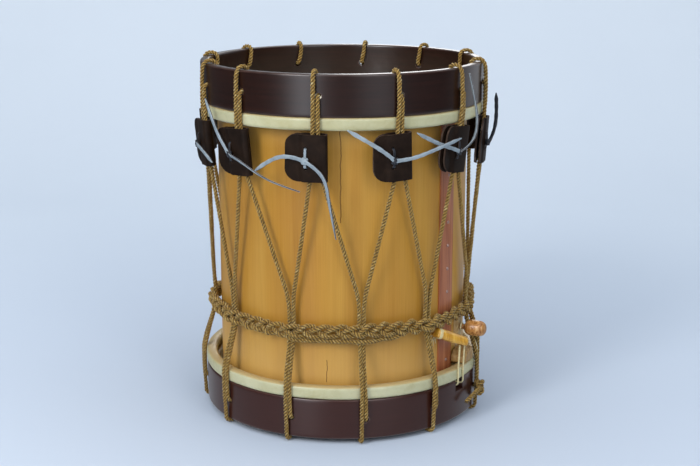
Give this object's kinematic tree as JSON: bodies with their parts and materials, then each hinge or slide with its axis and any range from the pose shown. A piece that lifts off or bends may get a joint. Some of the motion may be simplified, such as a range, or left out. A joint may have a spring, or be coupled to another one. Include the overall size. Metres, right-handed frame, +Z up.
{
  "type": "rope-tensioned snare drum",
  "caption": "Deep cylindrical wooden drum whose two skin heads are held by counter hoops and a zigzag tension rope with sliding leather tugs; gut snares run under the lower head.",
  "frame": {"origin": "on the drum's axis, at the level it stands on (the undersides of the rope loops round the lower hoop)", "axes": "+Z up along the drum's axis, -Y towards the front, +X towards the snare tuning peg's side; the seam strip lies between +X and -Y"},
  "size_m": [0.3791, 0.3907, 0.4534],
  "materials": {
    "shell_wood": "satin",
    "seam_wood": "satin",
    "tack": "satin",
    "hoop_wood": "satin",
    "pale_wood": "matte",
    "skin": "satin",
    "hemp": "matte",
    "gut": "satin",
    "toggle_wood": "satin",
    "peg_wood": "gloss",
    "tug_leather": "satin",
    "lace_leather": "satin"
  },
  "bodies": {
    "root": {"shell": "shell_wood", "reinforcing_ring_lower": "shell_wood", "reinforcing_ring_upper": "shell_wood", "seam_strip": "seam_wood", "seam_tacks": "tack", "top_counter_hoop": "hoop_wood", "bottom_counter_hoop": "hoop_wood", "top_flesh_hoop": "pale_wood", "bottom_flesh_hoop": "pale_wood", "top_head": "skin", "bottom_head": "skin", "rope_top_loops": "hemp", "rope_legs": "hemp", "rope_bottom_loops": "hemp", "girdle": "hemp", "rope_end_knot": "hemp", "rope_end": "hemp", "snare_gut": "gut", "snare_anchor": "pale_wood", "snare_toggle": "toggle_wood", "snare_rest": "toggle_wood", "peg_plate": "pale_wood", "peg_lashing": "gut"},
    "tug_01": {"tug_01": "tug_leather", "lace_01": "lace_leather", "lace_tails_01": "lace_leather"},
    "tug_02": {"tug_02": "tug_leather", "lace_02": "lace_leather", "lace_tails_02": "lace_leather"},
    "tug_03": {"tug_03": "tug_leather", "lace_03": "lace_leather", "lace_tails_03": "lace_leather"},
    "tug_04": {"tug_04": "tug_leather", "lace_04": "lace_leather", "lace_tails_04": "lace_leather"},
    "tug_05": {"tug_05": "tug_leather", "lace_05": "lace_leather", "lace_tails_05": "lace_leather"},
    "tug_06": {"tug_06": "tug_leather", "lace_06": "lace_leather", "lace_tails_06": "lace_leather"},
    "tug_07": {"tug_07": "tug_leather", "lace_07": "lace_leather", "lace_tails_07": "lace_leather"},
    "tug_08": {"tug_08": "tug_leather", "lace_08": "lace_leather", "lace_tails_08": "lace_leather"},
    "tug_09": {"tug_09": "tug_leather", "lace_09": "lace_leather", "lace_tails_09": "lace_leather"},
    "tug_10": {"tug_10": "tug_leather", "lace_10": "lace_leather", "lace_tails_10": "lace_leather"},
    "tug_11": {"tug_11": "tug_leather", "lace_11": "lace_leather", "lace_tails_11": "lace_leather"},
    "tug_12": {"tug_12": "tug_leather", "lace_12": "lace_leather", "lace_tails_12": "lace_leather"},
    "snare_peg": {"snare_peg": "peg_wood"}
  },
  "joints": [
    {"name": "slide_tug_01", "type": "slide", "parent": "root", "child": "tug_01", "axis": [0.0798, -0.0213, -0.9966], "range_m": [0, 0.06], "deforming": ["rope_legs", "rope_top_loops"]},
    {"name": "slide_tug_02", "type": "slide", "parent": "root", "child": "tug_02", "axis": [0.081, 0.0159, -0.9966], "range_m": [0, 0.06], "deforming": ["rope_legs", "rope_top_loops"]},
    {"name": "slide_tug_03", "type": "slide", "parent": "root", "child": "tug_03", "axis": [0.0035, 0.0669, -0.9978], "range_m": [0, 0.06], "deforming": ["rope_legs", "rope_top_loops"]},
    {"name": "slide_tug_04", "type": "slide", "parent": "root", "child": "tug_04", "axis": [0.0293, 0.0826, -0.9962], "range_m": [0, 0.06], "deforming": ["rope_legs", "rope_top_loops"]},
    {"name": "slide_tug_05", "type": "slide", "parent": "root", "child": "tug_05", "axis": [-0.1126, -0.0352, -0.993], "range_m": [0, 0.06], "deforming": ["rope_legs", "rope_top_loops"]},
    {"name": "slide_tug_06", "type": "slide", "parent": "root", "child": "tug_06", "axis": [-0.0685, 0.0002, -0.9977], "range_m": [0, 0.06], "deforming": ["rope_legs", "rope_top_loops"]},
    {"name": "slide_tug_07", "type": "slide", "parent": "root", "child": "tug_07", "axis": [-0.0737, 0.0073, -0.9973], "range_m": [0, 0.06], "deforming": ["rope_legs", "rope_top_loops"]},
    {"name": "slide_tug_08", "type": "slide", "parent": "root", "child": "tug_08", "axis": [-0.0171, -0.0721, -0.9973], "range_m": [0, 0.06], "deforming": ["rope_legs", "rope_top_loops"]},
    {"name": "slide_tug_09", "type": "slide", "parent": "root", "child": "tug_09", "axis": [-0.012, -0.0654, -0.9978], "range_m": [0, 0.06], "deforming": ["rope_legs", "rope_top_loops"]},
    {"name": "slide_tug_10", "type": "slide", "parent": "root", "child": "tug_10", "axis": [-0.0154, -0.0765, -0.997], "range_m": [0, 0.06], "deforming": ["rope_legs", "rope_top_loops"]},
    {"name": "slide_tug_11", "type": "slide", "parent": "root", "child": "tug_11", "axis": [0.0659, -0.026, -0.9975], "range_m": [0, 0.06], "deforming": ["rope_legs", "rope_top_loops"]},
    {"name": "slide_tug_12", "type": "slide", "parent": "root", "child": "tug_12", "axis": [0.0718, 0.0182, -0.9973], "range_m": [0, 0.06], "deforming": ["rope_legs", "rope_top_loops"]},
    {"name": "turn_snare_peg", "type": "hinge", "parent": "root", "child": "snare_peg", "pos_m": [0.15045, -0.07015, 0.1152], "axis": [0.9063, -0.4226, 0], "continuous": true}
  ]
}
